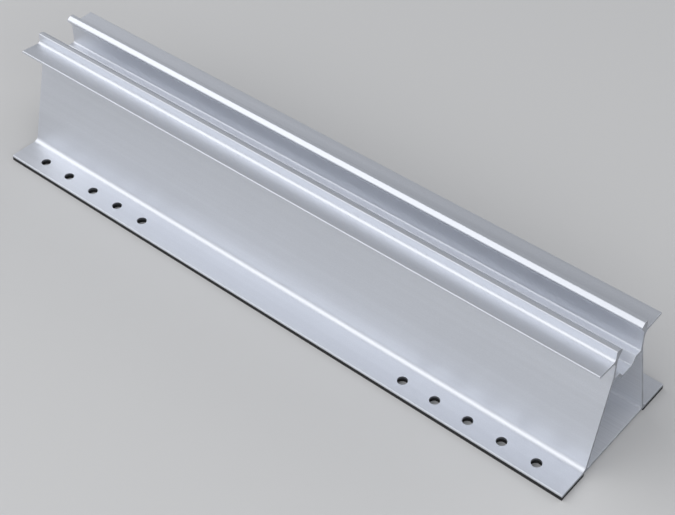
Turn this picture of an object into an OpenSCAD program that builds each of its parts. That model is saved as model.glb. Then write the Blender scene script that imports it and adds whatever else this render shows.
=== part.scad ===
// Solar mini rail: one aluminium extrusion with a bolt channel on top of two leaning legs,
// and a rubber seal strip under each of its two flanges.
// X runs along the rail, Y across it, and Z = 0 is the roof sheet that the seal strips rest on.

/* [Rail] */
// Length of the rail
rail_length = 385; // [260:5:600]
// Height of the extrusion, from the underside of its base plate to the rims of its lips
rail_height = 71; // [60:0.5:100]
// Width of the base plate, from flange edge to flange edge
base_width = 90; // [82:1:110]
// Thickness of the base plate
plate_thickness = 1.5; // [1.2:0.1:2.5]
// Thickness of the legs, the channel and the wings
wall_thickness = 1.5; // [1.2:0.1:2]
// Distance over the legs where they stand on the base plate
leg_spread = 52; // [46:0.5:56]

/* [Bolt channel] */
// Inside width of the channel
channel_width = 22.4; // [21:0.2:24]
// Depth of the channel, from the rims to its two shelves
channel_depth = 18.4; // [18:0.2:24]
// How far above the shelves the outer faces of the legs and the channel's sides meet
leg_joint_rise = 2.1; // [1:0.1:4]
// Depth of the groove between the shelves
groove_depth = 4.1; // [2:0.1:6]
// Width of the groove at its floor
groove_floor_width = 7.6; // [5:0.2:9]
// Width of the groove at the shelves
groove_mouth_width = 14; // [12:0.2:17]

/* [Lips] */
// Width of the slot between the two lips
slot_width = 16.6; // [14:0.2:18]
// Thickness of a lip's stem, from the channel's side outwards
lip_thickness = 1.9; // [1.8:0.1:3.4]
// Depth of a lip's hook below the rim, where it runs into the channel's side
hook_depth = 6.3; // [5:0.1:8]
// Height of the blunt face of a lip's nose
nose_height = 0.9; // [0.7:0.1:1.4]
// How far a lip's nose lies below the rim
nose_drop = 1.6; // [1:0.1:2.2]
// Width of the slope from a lip's nose up to its rim
nose_slope_width = 2.4; // [1.6:0.1:2.8]
// Radius that rounds a lip's nose above its blunt face and where its slope meets the rim
nose_radius = 1.2; // [0.5:0.1:1.2]

/* [Wings] */
// Distance over the tips of the two wings
wing_span = 52.5; // [46:0.5:60]
// Angle at which the wings rise towards their tips, in degrees
wing_tilt = 4.5; // [0:0.5:14]
// Depth of the middle of a wing's root below the rims
wing_drop = 6.8; // [6.6:0.1:8.4]

/* [Corners] */
// Radius between a leg and the flange outside it
leg_fillet = 3.5; // [1:0.1:6]
// Radius between a lip and the wing below it
lip_fillet = 2; // [1:0.1:4]
// Radius between a wing and the channel's side below it
wing_fillet = 2.5; // [1:0.1:4]
// Radius in the corners of the hollow body and of the channel
inner_fillet = 1; // [0.5:0.1:1.4]
// Radius on the other outer edges of the wings, the lips and the flanges
edge_radius = 0.5; // [0.2:0.05:0.55]

/* [Screw holes] */
// Diameter of a screw hole
hole_diameter = 5.5; // [4:0.1:8]
// Distance from a flange's edge to the centres of its holes
hole_edge_distance = 8.5; // [6:0.5:12]
// Distance from an end of the rail to the centre of its first hole
hole_end_distance = 20; // [10:1:30]
// Distance between the centres of neighbouring holes
hole_pitch = 20; // [12:1:24]
// Number of holes in a row at each end of a flange
holes_per_row = 5; // [1:1:6]

/* [Seal strips] */
// Thickness of a seal strip
strip_thickness = 2; // [1:0.1:4]
// Width of a seal strip, from the flange's edge inwards
strip_width = 18.5; // [15:0.5:20]

/* [Hidden] */
$fn = 64;

// How far a cutting or filling shape runs past the face that it meets
overrun = 0.2;
// How far a round's arc runs past the two sides that it joins, so that it crosses them at a clear angle
arc_overrun = 0.01;

// Heights above the roof sheet
plate_bottom = strip_thickness;
plate_top = plate_bottom + plate_thickness;
rim_top = plate_bottom + rail_height;
shelf_top = rim_top - channel_depth;
shelf_bottom = shelf_top - wall_thickness;
groove_top = shelf_top - groove_depth;
groove_bottom = groove_top - wall_thickness;
leg_joint = shelf_top + leg_joint_rise;
wing_root = rim_top - wing_drop;
hook_root = rim_top - hook_depth;
nose_top = rim_top - nose_drop;
nose_bottom = nose_top - nose_height;

// Distances from the rail's middle plane
channel_in = channel_width / 2;
channel_out = channel_in + wall_thickness;
lip_out = channel_in + lip_thickness;
nose_in = slot_width / 2;
rim_in = nose_in + nose_slope_width;
flange_edge = base_width / 2;
leg_foot = leg_spread / 2;
groove_floor_edge = groove_floor_width / 2;
groove_mouth_edge = groove_mouth_width / 2;
hole_row = flange_edge - hole_edge_distance;

// The legs lean inwards by leg_lean, so that a level cut through one is leg_level_width wide
leg_lean = atan((leg_foot - channel_out) / (leg_joint - plate_top));
leg_level_width = wall_thickness / cos(leg_lean);
leg_up = [-sin(leg_lean), cos(leg_lean)];

// The wings and the groove's sides
wing_out = [cos(wing_tilt), sin(wing_tilt)];
wing_up = [-sin(wing_tilt), cos(wing_tilt)];
wing_length = (wing_span / 2 - channel_out) / cos(wing_tilt);
groove_slope = atan((shelf_top - groove_top) / (groove_mouth_edge - groove_floor_edge));
groove_shift = wall_thickness * tan(groove_slope / 2);
groove_rise = [cos(groove_slope), sin(groove_slope)];
hook_rise = unit([nose_in - channel_in, nose_bottom - hook_root]);
nose_rise = unit([rim_in - nose_in, rim_top - nose_top]);

function unit(v) = v / norm(v);

// Distance from the middle plane to a leg's outer and inner face at a height
function leg_outer(height) = leg_foot - (height - plate_top) * tan(leg_lean);
function leg_inner(height) = leg_outer(height) - leg_level_width;

// Height of a wing's upper (side = 1) or lower (side = -1) face at a distance from the middle plane
function wing_face(distance, side) =
    wing_root + (distance - channel_out) * tan(wing_tilt) + side * wall_thickness / 2 / cos(wing_tilt);

// The piece between a corner and a round of the given radius that touches both of its sides.
// It fills an inner corner, and cut away it rounds an outer one. Its point runs past the corner.
module corner_blend(corner, side_a, side_b, radius) {
    half_angle = acos(side_a * side_b) / 2;
    reach = radius / tan(half_angle);
    middle = unit(side_a + side_b);
    centre = corner + middle * radius / sin(half_angle);
    right = cross(side_a, side_b) > 0 ? side_a : side_b;
    left = cross(side_a, side_b) > 0 ? side_b : side_a;
    difference() {
        polygon([corner - middle * overrun, corner + right * reach, centre, corner + left * reach]);
        translate(centre) circle(r = radius + arc_overrun);
    }
}

module base_section() {
    translate([-overrun, plate_bottom]) square([flange_edge + overrun, plate_thickness]);
}

module leg_section() {
    polygon([
        [leg_inner(plate_top - overrun), plate_top - overrun],
        [leg_outer(plate_top - overrun), plate_top - overrun],
        [channel_out, leg_joint],
        [channel_in, leg_joint],
        [channel_in, shelf_top],
        [leg_inner(shelf_bottom), shelf_bottom]
    ]);
}

// One side of the channel, with half of its floor
module channel_section() {
    translate([channel_in, shelf_top]) square([wall_thickness, wing_root - shelf_top]);
    polygon([
        [-overrun, groove_bottom],
        [groove_floor_edge + groove_shift, groove_bottom],
        [groove_mouth_edge + groove_shift, shelf_bottom],
        [leg_inner(shelf_bottom) + overrun, shelf_bottom],
        [channel_in + overrun, shelf_top],
        [groove_mouth_edge, shelf_top],
        [groove_floor_edge, groove_top],
        [-overrun, groove_top]
    ]);
}

module wing_section() {
    translate([channel_out, wing_root]) rotate(wing_tilt)
        translate([-overrun, -wall_thickness / 2]) square([wing_length + overrun, wall_thickness]);
}

module lip_section() {
    polygon([
        [channel_in, wing_root - overrun],
        [lip_out, wing_root],
        [lip_out, rim_top],
        [rim_in, rim_top],
        [nose_in, nose_top],
        [nose_in, nose_bottom],
        [channel_in, hook_root]
    ]);
}

// The rounds that fill the inner corners
module fillets() {
    corner_blend([leg_foot, plate_top], [1, 0], leg_up, leg_fillet);
    corner_blend([leg_inner(plate_top), plate_top], [-1, 0], leg_up, inner_fillet);
    corner_blend([leg_inner(shelf_bottom), shelf_bottom], [-1, 0], -leg_up, inner_fillet);
    corner_blend([channel_in, shelf_top], [-1, 0], [0, 1], inner_fillet);
    corner_blend([groove_floor_edge, groove_top], [-1, 0], groove_rise, inner_fillet);
    corner_blend([groove_mouth_edge + groove_shift, shelf_bottom], [1, 0], -groove_rise, inner_fillet);
    corner_blend([channel_in, hook_root], [0, -1], hook_rise, inner_fillet);
    corner_blend([channel_out, wing_face(channel_out, -1)], [0, -1], wing_out, wing_fillet);
    corner_blend([lip_out, wing_face(lip_out, 1)], [0, 1], wing_out, lip_fillet);
}

// The rounds that are cut from the outer edges
module edge_rounds() {
    wing_tip = [channel_out, wing_root] + wing_out * wing_length;
    corner_blend([flange_edge, plate_top], [-1, 0], [0, -1], edge_radius);
    corner_blend([flange_edge, plate_bottom], [-1, 0], [0, 1], edge_radius);
    corner_blend([groove_mouth_edge, shelf_top], [1, 0], -groove_rise, edge_radius);
    corner_blend([groove_floor_edge + groove_shift, groove_bottom], [-1, 0], groove_rise, edge_radius);
    corner_blend(wing_tip + wing_up * wall_thickness / 2, -wing_out, -wing_up, edge_radius);
    corner_blend(wing_tip - wing_up * wall_thickness / 2, -wing_out, wing_up, edge_radius);
    corner_blend([lip_out, rim_top], [-1, 0], [0, -1], edge_radius);
    corner_blend([rim_in, rim_top], [1, 0], -nose_rise, nose_radius);
    corner_blend([nose_in, nose_top], nose_rise, [0, -1], nose_radius);
    corner_blend([nose_in, nose_bottom], -hook_rise, [0, 1], edge_radius);
}

// Half of the extrusion's section: its first axis runs across the rail and its second one up
module half_section() {
    difference() {
        union() {
            base_section();
            leg_section();
            channel_section();
            wing_section();
            lip_section();
            fillets();
        }
        edge_rounds();
    }
}

// Turns a section into a bar along X
module along_rail() {
    rotate([90, 0, 90]) linear_extrude(height = rail_length, center = true) children();
}

// The two rows of screw holes on one side: -1 is the front, 1 the rear
module screw_holes(side) {
    for (end = [-1, 1], i = [0 : holes_per_row - 1])
        translate([end * (rail_length / 2 - hole_end_distance - i * hole_pitch), side * hole_row, -overrun])
            cylinder(d = hole_diameter, h = plate_top + 2 * overrun);
}

module seal_strip(side) {
    difference() {
        translate([-rail_length / 2, side > 0 ? flange_edge - strip_width : -flange_edge, 0])
            cube([rail_length, strip_width, strip_thickness]);
        screw_holes(side);
    }
}

module rail() {
    color([0.72, 0.74, 0.78])
    difference() {
        along_rail() {
            half_section();
            mirror([1, 0]) half_section();
        }
        screw_holes(-1);
        screw_holes(1);
    }
}

module front_seal_strip() {
    color([0.14, 0.14, 0.15]) seal_strip(-1);
}

module rear_seal_strip() {
    color([0.14, 0.14, 0.15]) seal_strip(1);
}

rail();
front_seal_strip();
rear_seal_strip();
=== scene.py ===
import math

import bpy
from mathutils import Matrix, Vector


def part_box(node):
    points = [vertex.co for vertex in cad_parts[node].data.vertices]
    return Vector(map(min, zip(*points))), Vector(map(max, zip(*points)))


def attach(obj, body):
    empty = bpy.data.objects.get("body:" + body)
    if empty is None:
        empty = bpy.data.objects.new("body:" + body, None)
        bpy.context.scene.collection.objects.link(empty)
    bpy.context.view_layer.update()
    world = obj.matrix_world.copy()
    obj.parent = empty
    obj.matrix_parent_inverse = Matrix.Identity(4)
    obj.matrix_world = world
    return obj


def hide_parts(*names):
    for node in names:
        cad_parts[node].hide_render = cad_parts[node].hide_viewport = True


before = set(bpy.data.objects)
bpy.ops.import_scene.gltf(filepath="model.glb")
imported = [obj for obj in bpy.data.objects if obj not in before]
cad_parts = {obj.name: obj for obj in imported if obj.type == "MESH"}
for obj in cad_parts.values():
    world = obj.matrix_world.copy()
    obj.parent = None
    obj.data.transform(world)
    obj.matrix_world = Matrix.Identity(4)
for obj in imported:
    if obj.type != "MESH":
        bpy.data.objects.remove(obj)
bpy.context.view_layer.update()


# The rail: one bar of aluminium, pressed through a die and sawn to length.
# Its section is a bolt channel with hooked lips and two wings, carried by two leaning legs on a base plate.
# Four rows of screw holes are punched through the flanges that the plate leaves outside the legs.
mm = 0.001
rail_low, rail_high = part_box("rail")
rail_length = rail_high.x - rail_low.x
flange_edge = rail_high.y
plate_bottom = rail_low.z
rim_top = rail_high.z
wall = 1.5 * mm
plate_top = plate_bottom + wall

leg_foot = 26 * mm
channel_in = 11.2 * mm
channel_out = channel_in + wall
shelf_top = rim_top - 18.4 * mm
shelf_bottom = shelf_top - wall
leg_joint = shelf_top + 2.1 * mm
leg_lean = math.atan((leg_foot - channel_out) / (leg_joint - plate_top))

groove_top = shelf_top - 4.1 * mm
groove_bottom = groove_top - wall
groove_floor_edge = 3.8 * mm
groove_mouth_edge = 7 * mm
groove_slope = math.atan((shelf_top - groove_top) / (groove_mouth_edge - groove_floor_edge))
groove_shift = wall * math.tan(groove_slope / 2)

lip_out = channel_in + 1.9 * mm
hook_root = rim_top - 6.3 * mm
nose_in = 8.3 * mm
nose_top = rim_top - 1.6 * mm
nose_bottom = nose_top - 0.9 * mm
rim_in = nose_in + 2.4 * mm

wing_tip = 26.25 * mm
wing_tilt = math.radians(4.5)
wing_root = rim_top - 6.8 * mm

edge_round = 0.5 * mm
nose_round = 1.2 * mm
inner_round = 1 * mm
leg_round = 3.5 * mm
joint_round = 4 * mm
lip_round = 2 * mm
wing_round = 2.5 * mm

hole_count = 5
hole_pitch = 20 * mm
hole_end_distance = 20 * mm
hole_edge_distance = 8.5 * mm
hole_diameter = 5.5 * mm
punch_length = 10 * wall
deburr_width = 0.12 * mm


def leg_inner(height):
    """How far a leg's inner face is from the middle plane at a height."""
    return leg_foot - (height - plate_top) * math.tan(leg_lean) - wall / math.cos(leg_lean)


def on_wing(across, side):
    """A corner on a wing's upper (side 1) or lower (side -1) face, at a distance from the middle plane."""
    middle = wing_root + (across - channel_out) * math.tan(wing_tilt)
    return across, middle + side * wall / 2 / math.cos(wing_tilt)


def at_tip(side):
    """A corner of the square-cut wing tip."""
    middle = wing_root + (wing_tip - channel_out) * math.tan(wing_tilt)
    return wing_tip - side * wall / 2 * math.sin(wing_tilt), middle + side * wall / 2 * math.cos(wing_tilt)


# The right half of each loop of the section, from the middle plane outwards and back: across, up, radius
outside = [
    (flange_edge, plate_bottom, edge_round),
    (flange_edge, plate_top, edge_round),
    (leg_foot, plate_top, leg_round),
    (channel_out, leg_joint, joint_round),
    (*on_wing(channel_out, -1), wing_round),
    (*at_tip(-1), edge_round),
    (*at_tip(1), edge_round),
    (*on_wing(lip_out, 1), lip_round),
    (lip_out, rim_top, edge_round),
    (rim_in, rim_top, nose_round),
    (nose_in, nose_top, nose_round),
    (nose_in, nose_bottom, edge_round),
    (channel_in, hook_root, inner_round),
    (channel_in, shelf_top, inner_round),
    (groove_mouth_edge, shelf_top, edge_round),
    (groove_floor_edge, groove_top, inner_round),
]
hollow = [
    (leg_inner(plate_top), plate_top, inner_round),
    (leg_inner(shelf_bottom), shelf_bottom, inner_round),
    (groove_mouth_edge + groove_shift, shelf_bottom, inner_round),
    (groove_floor_edge + groove_shift, groove_bottom, edge_round),
]


def section_mesh(name, outer_half, inner_half):
    """The loops of a symmetric section as edges, with each corner's radius and whether it is the hollow's."""
    points, radii, edges = [], [], []
    for half in (outer_half, inner_half):
        loop = half + [(-across, up, radius) for across, up, radius in reversed(half)]
        first = len(points)
        points += [(across, up, 0) for across, up, radius in loop]
        radii += [radius for across, up, radius in loop]
        edges += [(first + i, first + (i + 1) % len(loop)) for i in range(len(loop))]
    mesh = bpy.data.meshes.new(name)
    mesh.from_pydata(points, edges, [])
    mesh.attributes.new("corner_radius", "FLOAT", "POINT").data.foreach_set("value", radii)
    is_hollow = [i >= 2 * len(outer_half) for i in range(len(points))]
    mesh.attributes.new("is_hollow", "BOOLEAN", "POINT").data.foreach_set("value", is_hollow)
    return mesh


def add_node(tree, kind, inputs=(), **settings):
    """Adds a node with its settings. An input takes a value, a socket to link, or a list of sockets."""
    node = tree.nodes.new(kind)
    for name, value in settings.items():
        setattr(node, name, value)
    for key, value in dict(inputs).items():
        if isinstance(value, (bpy.types.NodeSocket, list)):
            for source in value if isinstance(value, list) else [value]:
                tree.links.new(source, node.inputs[key])
        else:
            node.inputs[key].default_value = value
    return node


def linear(hex_colour):
    """A colour written as sRGB hex, in linear light."""
    parts = [int(hex_colour[i:i + 2], 16) / 255 for i in (1, 3, 5)]
    return (*[p / 12.92 if p <= 0.04045 else ((p + 0.055) / 1.055) ** 2.4 for p in parts], 1)


def new_material(name):
    """A new material, its node tree and its shader."""
    material = bpy.data.materials.new(name)
    material.use_nodes = True
    return material, material.node_tree, material.node_tree.nodes["Principled BSDF"]


def stretched_noise(tree, along, across, detail):
    """Noise whose grains are this long along the rail and this wide across it, in metres."""
    place = add_node(tree, "ShaderNodeTexCoord").outputs["Object"]
    grains = add_node(tree, "ShaderNodeMapping", {
        "Vector": place, "Scale": (1 / along, 1 / across, 1 / across)})
    noise = add_node(tree, "ShaderNodeTexNoise", {
        "Vector": grains.outputs["Vector"], "Scale": 1, "Detail": detail})
    return noise.outputs["Fac"]


# A noise seldom leaves this range, which is spread over the values that a finish needs.
# A Mix node of colours blends from input 6 to input 7, into output 2.
noise_range = {"From Min": 0.3, "From Max": 0.7}
first_tone, second_tone, mixed = 6, 7, 2


# Satin aluminium, as pressed and etched: a soft silver, with faint lines that the die drew along the bar.
# Lines and etch grain are some hundredths of a millimetre wide on the real bar, and drawn coarser to show.
def satin_aluminium():
    material, tree, surface = new_material("extruded_satin_aluminium")
    surface.inputs["Metallic"].default_value = 1
    fine_lines = stretched_noise(tree, along=160 * mm, across=0.35 * mm, detail=2)
    broad_lines = stretched_noise(tree, along=400 * mm, across=3 * mm, detail=2)
    etch_grain = stretched_noise(tree, along=0.6 * mm, across=0.45 * mm, detail=2)

    line_share = add_node(tree, "ShaderNodeMapRange", {"Value": broad_lines, **noise_range})
    tones = add_node(tree, "ShaderNodeMix", {
        "Factor": line_share.outputs["Result"],
        first_tone: linear("#E1E4EA"), second_tone: linear("#E6E9EF")}, data_type="RGBA")
    grain_share = add_node(tree, "ShaderNodeMapRange", {"Value": etch_grain, **noise_range, "To Max": 0.5})
    colour = add_node(tree, "ShaderNodeMix", {
        "Factor": grain_share.outputs["Result"],
        first_tone: tones.outputs[mixed], second_tone: linear("#DADDE4")}, data_type="RGBA")
    tree.links.new(colour.outputs[mixed], surface.inputs["Base Color"])

    broad_part = add_node(tree, "ShaderNodeMapRange", {
        "Value": broad_lines, **noise_range, "To Min": 0.5, "To Max": 0.54})
    fine_part = add_node(tree, "ShaderNodeMapRange", {
        "Value": fine_lines, **noise_range, "To Min": -0.02, "To Max": 0.02})
    roughness = add_node(tree, "ShaderNodeMath", {
        0: fine_part.outputs["Result"], 1: broad_part.outputs["Result"]}, operation="ADD")
    tree.links.new(roughness.outputs[0], surface.inputs["Roughness"])

    grain_relief = add_node(tree, "ShaderNodeMapRange", {"Value": etch_grain, **noise_range, "To Max": 0.35})
    relief = add_node(tree, "ShaderNodeMath", {
        0: fine_lines, 1: grain_relief.outputs["Result"]}, operation="ADD")
    bump = add_node(tree, "ShaderNodeBump", {
        "Height": relief.outputs[0], "Strength": 0.35, "Distance": 0.004 * mm})
    tree.links.new(bump.outputs["Normal"], surface.inputs["Normal"])
    return material


# The hollow's skin: the mandrel drags on it and the etch hardly reaches it.
# So it keeps a dull oxide skin that mirrors little, with long drag lines.
def mandrel_aluminium():
    material, tree, surface = new_material("dull_inner_aluminium")
    surface.inputs["Metallic"].default_value = 0.5
    surface.inputs["Roughness"].default_value = 0.55
    drag_lines = stretched_noise(tree, along=120 * mm, across=0.6 * mm, detail=3)
    line_share = add_node(tree, "ShaderNodeMapRange", {"Value": drag_lines, **noise_range})
    tones = add_node(tree, "ShaderNodeMix", {
        "Factor": line_share.outputs["Result"],
        first_tone: linear("#D8DBE1"), second_tone: linear("#E2E5EB")}, data_type="RGBA")
    tree.links.new(tones.outputs[mixed], surface.inputs["Base Color"])
    bump = add_node(tree, "ShaderNodeBump", {"Height": drag_lines, "Strength": 0.4, "Distance": 0.01 * mm})
    tree.links.new(bump.outputs["Normal"], surface.inputs["Normal"])
    return material


# Saw-cut aluminium: the blade leaves faint arcs on a cut that is a little shinier than the skin. Its colour
# is darker than the skin's, as painted shade on the end faces.
# The arcs of the teeth are drawn 4.4 mm apart, much coarser than the real ones, so that they show.
def sawn_aluminium_painted_shade():
    material, tree, surface = new_material("saw_cut_aluminium")
    surface.inputs["Metallic"].default_value = 1
    blade_beside, blade_below = 190 * mm, 120 * mm
    place = add_node(tree, "ShaderNodeTexCoord").outputs["Object"]
    from_blade = add_node(tree, "ShaderNodeMapping", {
        "Vector": place, "Location": (0, blade_beside, blade_below)})
    # A wave's phase grows by 20 in a unit of length at scale 1, and here by 2 pi from arc to arc
    arc_radian = 0.7 * mm
    arcs = add_node(tree, "ShaderNodeTexWave", {
        "Vector": from_blade.outputs["Vector"], "Scale": 1 / (20 * arc_radian),
        "Distortion": 1.5, "Detail": 2}, wave_type="RINGS", rings_direction="SPHERICAL")
    # These tones are darker than the skin's: painted shade on the end faces.
    tones = add_node(tree, "ShaderNodeMix", {
        "Factor": arcs.outputs["Fac"],
        first_tone: linear("#A2A6AE"), second_tone: linear("#B1B5BD")}, data_type="RGBA")
    tree.links.new(tones.outputs[mixed], surface.inputs["Base Color"])
    roughness = add_node(tree, "ShaderNodeMapRange", {
        "Value": arcs.outputs["Fac"], **noise_range, "To Min": 0.38, "To Max": 0.46})
    tree.links.new(roughness.outputs["Result"], surface.inputs["Roughness"])
    bump = add_node(tree, "ShaderNodeBump", {
        "Height": arcs.outputs["Fac"], "Strength": 0.4, "Distance": 0.01 * mm})
    tree.links.new(bump.outputs["Normal"], surface.inputs["Normal"])
    return material


# Punched aluminium: the punch burnishes the upper third of a hole's wall.
# Lower down the metal is torn, which makes it darker.
def punched_aluminium():
    material, tree, surface = new_material("punched_aluminium")
    surface.inputs["Metallic"].default_value = 1
    surface.inputs["Roughness"].default_value = 0.45
    torn_below = plate_top - 0.6 * wall
    burnished_above = plate_top - 0.3 * wall
    place = add_node(tree, "ShaderNodeTexCoord").outputs["Object"]
    height = add_node(tree, "ShaderNodeSeparateXYZ", {0: place}).outputs["Z"]
    burnished = add_node(tree, "ShaderNodeMapRange", {
        "Value": height, "From Min": torn_below, "From Max": burnished_above})
    tones = add_node(tree, "ShaderNodeMix", {
        "Factor": burnished.outputs["Result"],
        first_tone: linear("#84878D"), second_tone: linear("#A9ADB5")}, data_type="RGBA")
    tree.links.new(tones.outputs[mixed], surface.inputs["Base Color"])
    return material


def extrusion_tree(name):
    """Rounds a section's corners, fills and presses it along X, and punches four rows of holes."""
    tree = bpy.data.node_groups.new(name, "GeometryNodeTree")
    for label, kind in (("Section", "Geometry"), ("Length", "Float"), ("Arc Steps", "Int"),
                        ("Plate Height", "Float"), ("Holes per Row", "Int"), ("Hole Pitch", "Float"),
                        ("End Distance", "Float"), ("Row Distance", "Float"), ("Hole Diameter", "Float"),
                        ("Hole Steps", "Int"), ("Punch Length", "Float"), ("Mandrel Overrun", "Float"),
                        ("Skin", "Material"), ("Inner Skin", "Material"), ("Cut Ends", "Material"),
                        ("Hole Walls", "Material")):
        tree.interface.new_socket(label, in_out="INPUT", socket_type="NodeSocket" + kind)
    tree.interface.new_socket("Rail", in_out="OUTPUT", socket_type="NodeSocketGeometry")
    given = add_node(tree, "NodeGroupInput").outputs

    # The die presses the outside and the mandrel the hollow, each from its own loop with rounded corners
    half_length = add_node(tree, "ShaderNodeMath", {0: given["Length"], 1: 0.5}, operation="MULTIPLY")
    far_end = add_node(tree, "ShaderNodeMath", {0: half_length.outputs[0], 1: -1}, operation="MULTIPLY")
    radius = add_node(tree, "GeometryNodeInputNamedAttribute", {"Name": "corner_radius"})
    hollow_loop = add_node(tree, "GeometryNodeInputNamedAttribute", {
        "Name": "is_hollow"}, data_type="BOOLEAN")
    outer_loop = add_node(tree, "FunctionNodeBooleanMath", {0: hollow_loop.outputs[0]}, operation="NOT")

    def bar(loop, start, length, material):
        """A closed bar along X, pressed from one of the section's loops."""
        corners = add_node(tree, "GeometryNodeMeshToCurve", {
            "Mesh": given["Section"], "Selection": loop.outputs[0]})
        rounded = add_node(tree, "GeometryNodeFilletCurve", {
            "Curve": corners.outputs[0], "Count": given["Arc Steps"],
            "Radius": radius.outputs[0]}, mode="POLY")
        face = add_node(tree, "GeometryNodeFillCurve", {"Curve": rounded.outputs[0]}, mode="NGONS")
        pressed = add_node(tree, "GeometryNodeExtrudeMesh", {
            "Mesh": face.outputs[0], "Offset": (0, 0, 1), "Offset Scale": length, "Individual": False})
        back = add_node(tree, "GeometryNodeFlipFaces", {"Mesh": face.outputs[0]})
        both = add_node(tree, "GeometryNodeJoinGeometry", {
            "Geometry": [back.outputs[0], pressed.outputs["Mesh"]]})
        closed = add_node(tree, "GeometryNodeMergeByDistance", {
            "Geometry": both.outputs[0], "Distance": 0.001 * mm})
        shift = add_node(tree, "ShaderNodeCombineXYZ", {"X": start})
        along_x = add_node(tree, "GeometryNodeTransform", {
            "Geometry": closed.outputs[0], "Translation": shift.outputs[0],
            "Rotation": (math.radians(90), 0, math.radians(90))})
        return add_node(tree, "GeometryNodeSetMaterial", {
            "Geometry": along_x.outputs[0], "Material": material})

    pressed_bar = bar(outer_loop, far_end.outputs[0], given["Length"], given["Skin"])
    mandrel_start = add_node(tree, "ShaderNodeMath", {
        0: far_end.outputs[0], 1: given["Mandrel Overrun"]}, operation="SUBTRACT")
    mandrel_length = add_node(tree, "ShaderNodeMath", {
        0: given["Mandrel Overrun"], 1: 2, 2: given["Length"]}, operation="MULTIPLY_ADD")
    mandrel = bar(hollow_loop, mandrel_start.outputs[0], mandrel_length.outputs[0], given["Inner Skin"])

    # One row of punches, mirrored to the other end and to the other flange
    first_hole = add_node(tree, "ShaderNodeMath", {
        0: far_end.outputs[0], 1: given["End Distance"]}, operation="ADD")
    row_start = add_node(tree, "ShaderNodeCombineXYZ", {
        "X": first_hole.outputs[0], "Y": given["Row Distance"], "Z": given["Plate Height"]})
    step = add_node(tree, "ShaderNodeCombineXYZ", {"X": given["Hole Pitch"]})
    rows = add_node(tree, "GeometryNodeMeshLine", {
        "Count": given["Holes per Row"], "Start Location": row_start.outputs[0], "Offset": step.outputs[0]})
    for scale in ((-1, 1, 1), (1, -1, 1)):
        mirrored = add_node(tree, "GeometryNodeTransform", {"Geometry": rows.outputs[0], "Scale": scale})
        rows = add_node(tree, "GeometryNodeJoinGeometry", {
            "Geometry": [mirrored.outputs[0], rows.outputs[0]]})
    hole_radius = add_node(tree, "ShaderNodeMath", {0: given["Hole Diameter"], 1: 0.5}, operation="MULTIPLY")
    punch = add_node(tree, "GeometryNodeMeshCylinder", {
        "Vertices": given["Hole Steps"], "Radius": hole_radius.outputs[0], "Depth": given["Punch Length"]})
    punches = add_node(tree, "GeometryNodeInstanceOnPoints", {
        "Points": rows.outputs[0], "Instance": punch.outputs["Mesh"]})
    single = add_node(tree, "GeometryNodeRealizeInstances", {"Geometry": punches.outputs[0]})
    walls = add_node(tree, "GeometryNodeSetMaterial", {
        "Geometry": single.outputs[0], "Material": given["Hole Walls"]})
    punched = add_node(tree, "GeometryNodeMeshBoolean", {
        "Mesh 1": pressed_bar.outputs[0], "Mesh 2": [mandrel.outputs[0], walls.outputs[0]]},
        operation="DIFFERENCE", solver="EXACT")

    # The faces at both ends are the saw's
    position = add_node(tree, "GeometryNodeInputPosition")
    place = add_node(tree, "ShaderNodeSeparateXYZ", {0: position.outputs[0]})
    from_middle = add_node(tree, "ShaderNodeMath", {0: place.outputs["X"]}, operation="ABSOLUTE")
    to_end = add_node(tree, "ShaderNodeMath", {
        0: half_length.outputs[0], 1: from_middle.outputs[0]}, operation="SUBTRACT")
    sawn = add_node(tree, "FunctionNodeCompare", {
        "A": to_end.outputs[0], "B": 0.01 * mm}, operation="LESS_THAN")
    real = add_node(tree, "GeometryNodeRealizeInstances", {"Geometry": punched.outputs["Mesh"]})
    ends = add_node(tree, "GeometryNodeSetMaterial", {
        "Geometry": real.outputs[0], "Selection": sawn.outputs[0], "Material": given["Cut Ends"]})
    add_node(tree, "NodeGroupOutput", {"Rail": ends.outputs[0]})
    return tree


def grown(name, mesh, tree, **inputs):
    """The plain mesh that a geometry node tree makes of a mesh, as a new object.

    The inputs have the names of the tree's sockets, in lower case and with underscores.
    """
    seed = bpy.data.objects.new(name + "_seed", mesh)
    bpy.context.scene.collection.objects.link(seed)
    modifier = seed.modifiers.new(name, "NODES")
    modifier.node_group = tree
    for item in tree.interface.items_tree:
        key = item.name.lower().replace(" ", "_")
        if item.in_out == "INPUT" and key in inputs:
            modifier[item.identifier] = inputs[key]
    shape = bpy.data.meshes.new_from_object(seed.evaluated_get(bpy.context.evaluated_depsgraph_get()))
    seed.modifiers.remove(modifier)
    bpy.data.objects.remove(seed)
    shape.name = name
    piece = bpy.data.objects.new(name, shape)
    bpy.context.scene.collection.objects.link(piece)
    return piece


rail = grown(
    "extruded_rail", section_mesh("rail_section", outside, hollow), extrusion_tree("rail_extrusion"),
    length=rail_length, arc_steps=8, plate_height=plate_top,
    holes_per_row=hole_count, hole_pitch=hole_pitch, end_distance=hole_end_distance,
    row_distance=flange_edge - hole_edge_distance, hole_diameter=hole_diameter, hole_steps=40,
    punch_length=punch_length, mandrel_overrun=5 * mm,
    skin=satin_aluminium(), inner_skin=mandrel_aluminium(), cut_ends=sawn_aluminium_painted_shade(),
    hole_walls=punched_aluminium())
rail.data.shade_smooth()

# The burr of the saw and of the punch is brushed off, which leaves a narrow round on every cut edge
deburr = rail.modifiers.new("deburred_edges", "BEVEL")
deburr.width = deburr_width
deburr.segments = 2
deburr.limit_method = "ANGLE"
deburr.angle_limit = math.radians(60)
flat_faces = rail.modifiers.new("flat_faces_stay_flat", "WEIGHTED_NORMAL")
flat_faces.keep_sharp = True
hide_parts("rail")
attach(rail, "root")


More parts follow.
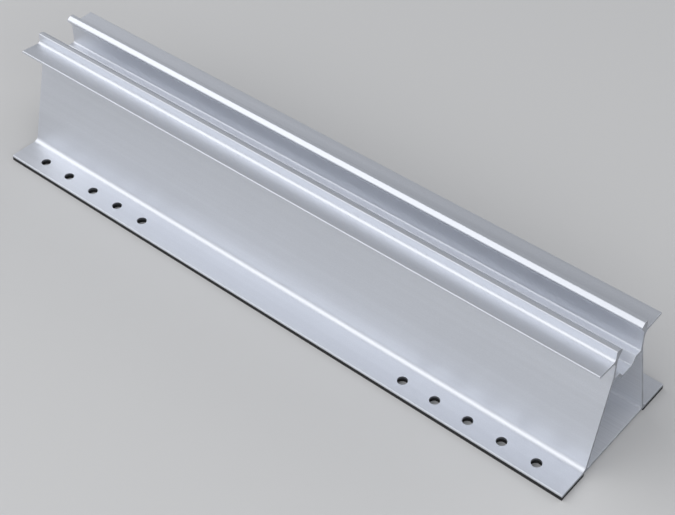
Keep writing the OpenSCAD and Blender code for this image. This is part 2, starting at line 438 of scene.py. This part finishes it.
# The seal strips: closed-cell rubber foam tape, stuck under each flange before the holes are punched.
# It is charcoal black and quite matt, with pinholes where the slitting knife opened the foam's cells.
# The pinholes are drawn 0.7 mm apart, coarser than the real cells, so that they show.
def foam_rubber():
    material, tree, surface = new_material("closed_cell_rubber_foam")
    cell_size = 0.7 * mm
    cloud_size = 6 * mm
    place = add_node(tree, "ShaderNodeTexCoord").outputs["Object"]
    cells = add_node(tree, "ShaderNodeTexVoronoi", {"Vector": place, "Scale": 1 / cell_size})
    cloud = stretched_noise(tree, along=cloud_size, across=cloud_size, detail=3)
    cloud_share = add_node(tree, "ShaderNodeMapRange", {"Value": cloud, **noise_range})
    tones = add_node(tree, "ShaderNodeMix", {
        "Factor": cloud_share.outputs["Result"],
        first_tone: linear("#1A1B1D"), second_tone: linear("#232426")}, data_type="RGBA")
    tree.links.new(tones.outputs[mixed], surface.inputs["Base Color"])
    roughness = add_node(tree, "ShaderNodeMapRange", {
        "Value": cloud, **noise_range, "To Min": 0.78, "To Max": 0.9})
    tree.links.new(roughness.outputs["Result"], surface.inputs["Roughness"])
    bump = add_node(tree, "ShaderNodeBump", {
        "Height": cells.outputs["Distance"], "Strength": 0.5, "Distance": 0.08 * mm})
    tree.links.new(bump.outputs["Normal"], surface.inputs["Normal"])
    return material


foam = foam_rubber()
for node in ("front_seal_strip", "rear_seal_strip"):
    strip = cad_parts[node]
    strip.data.materials.clear()
    strip.data.materials.append(foam)


# The floor: pale matt paper that runs out of sight and keeps the rail's soft shadow.
# It has one colour for every ray, so the metal mirrors just what the camera sees.
paper, _, paper_surface = new_material("pale_paper")
paper_surface.inputs["Base Color"].default_value = linear("#CECECE")
paper_surface.inputs["Roughness"].default_value = 0.9
paper_surface.inputs["Specular IOR Level"].default_value = 0
paper_half = 6
corners = [(x * paper_half, y * paper_half, 0) for x, y in ((-1, -1), (1, -1), (1, 1), (-1, 1))]
floor_mesh = bpy.data.meshes.new("paper_floor")
floor_mesh.from_pydata(corners, [], [(0, 1, 2, 3)])
floor_mesh.materials.append(paper)
floor = bpy.data.objects.new("paper_floor", floor_mesh)
bpy.context.scene.collection.objects.link(floor)


# The light: a large soft box high in front on the left, a lower one at the near end that reaches into the
# hollow, a third behind on the right for the rail's back, and a plain grey room around them.
lamp_target = Vector((0, 0, 0.04))


def soft_box(name, place, width, height, radiance):
    """A rectangular lamp of this radiance, aimed at the middle of the rail."""
    lamp = bpy.data.lights.new(name, "AREA")
    lamp.shape = "RECTANGLE"
    lamp.size, lamp.size_y = width, height
    lamp.energy = radiance * math.pi * width * height
    box = bpy.data.objects.new(name, lamp)
    box.location = place
    box.rotation_euler = (lamp_target - Vector(place)).to_track_quat("-Z", "Y").to_euler()
    bpy.context.scene.collection.objects.link(box)


soft_box("key_soft_box", place=(-0.72, -0.93, 1.3), width=4.2, height=1.8, radiance=1.35)
soft_box("near_soft_box", place=(1.75, -1.1, 0.95), width=2.2, height=1.3, radiance=2)
soft_box("rear_soft_box", place=(1.3, 1.6, 0.95), width=2.4, height=1.4, radiance=1.3)

studio = bpy.data.worlds.new("studio")
bpy.context.scene.world = studio
studio.use_nodes = True
room = studio.node_tree.nodes["Background"]
room.inputs["Color"].default_value = linear("#8E9094")
room.inputs["Strength"].default_value = 1


# The camera: it stands where the photograph was taken from, above the rail's front and towards its near end.
# Its place, direction and focal length were fitted to the rail's long edges, holes and corners.
picture_width, picture_height = 675, 515
focal_pixels = 1482.64
middle_row = 170
camera_place = (0.3906, -0.4381, 0.55267)
azimuth, elevation, roll = math.radians(40.256), math.radians(39.648), math.radians(-0.09)

camera = bpy.data.cameras.new("camera")
camera.sensor_width = 36
camera.lens = focal_pixels / picture_width * camera.sensor_width
camera.shift_y = (middle_row - picture_height / 2) / picture_width

level = Vector((math.cos(azimuth), math.sin(azimuth), 0))
backward = Vector((
    math.sin(azimuth) * math.cos(elevation), -math.cos(azimuth) * math.cos(elevation), math.sin(elevation)))
rightward = level * math.cos(roll) + backward.cross(level) * math.sin(roll)
upward = backward.cross(rightward)
eye = bpy.data.objects.new("camera", camera)
turned = Matrix((rightward, upward, backward)).transposed().to_4x4()
eye.matrix_world = Matrix.Translation(camera_place) @ turned
bpy.context.scene.collection.objects.link(eye)
bpy.context.scene.camera = eye
bpy.context.scene.view_settings.view_transform = "Standard"
